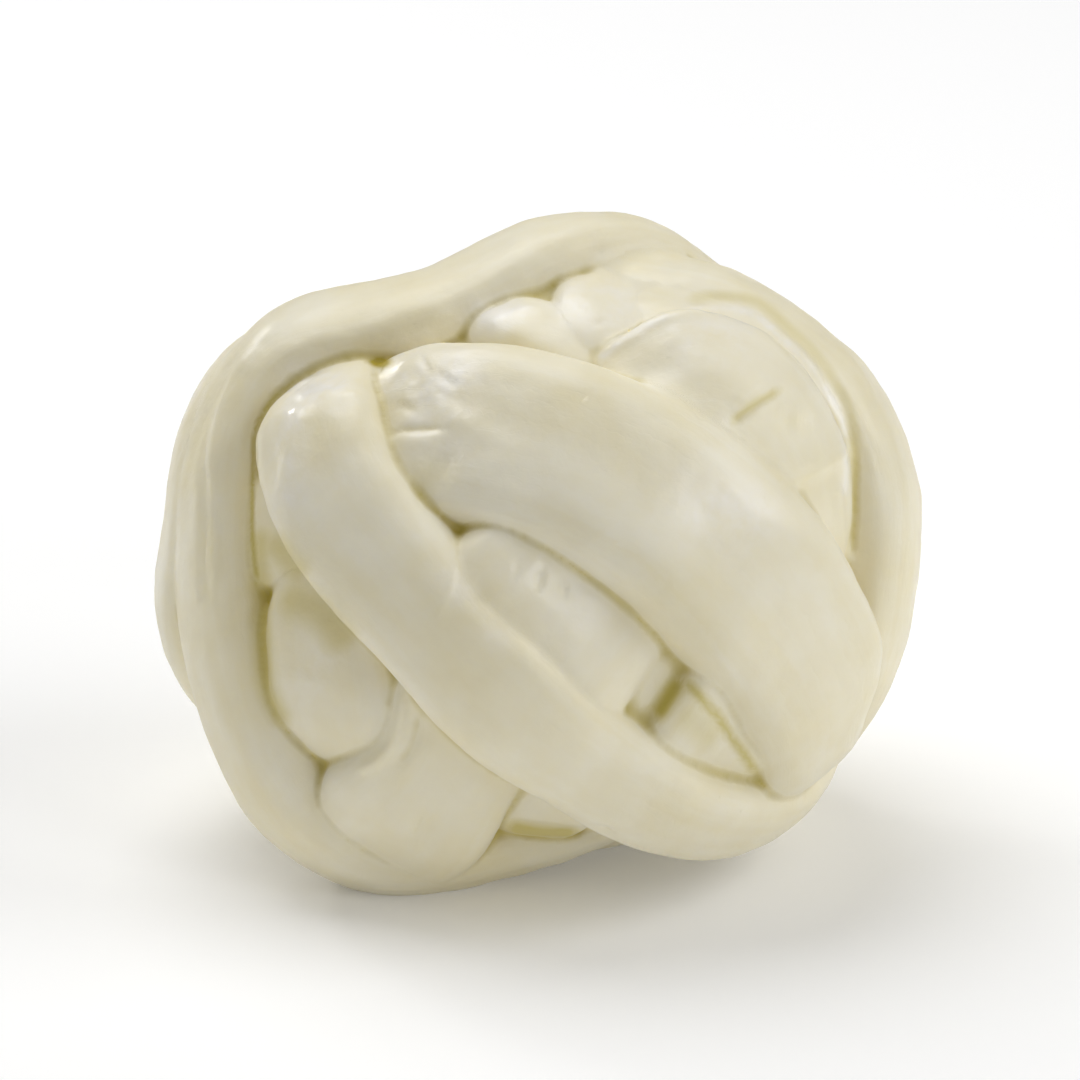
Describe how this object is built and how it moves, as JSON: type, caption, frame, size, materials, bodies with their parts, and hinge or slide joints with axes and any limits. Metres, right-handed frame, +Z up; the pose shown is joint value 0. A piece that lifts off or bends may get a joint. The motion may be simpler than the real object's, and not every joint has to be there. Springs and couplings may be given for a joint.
{
  "type": "asadero cheese",
  "caption": "Fresh asadero cheese: a hand-wound ball of soft stretched-curd rope, with broad overlapping folds, resting on its own flattened underside.",
  "frame": {"origin": "middle of the bounding box, on the surface that the ball rests on", "axes": "+X to the right and +Z up as the show side is seen, with the show side towards -Y"},
  "size_m": [0.107, 0.098, 0.089],
  "materials": {
    "curd": "moist, softly glossy ivory curd"
  },
  "bodies": {
    "root": {"cheese": "curd"}
  },
  "joints": []
}
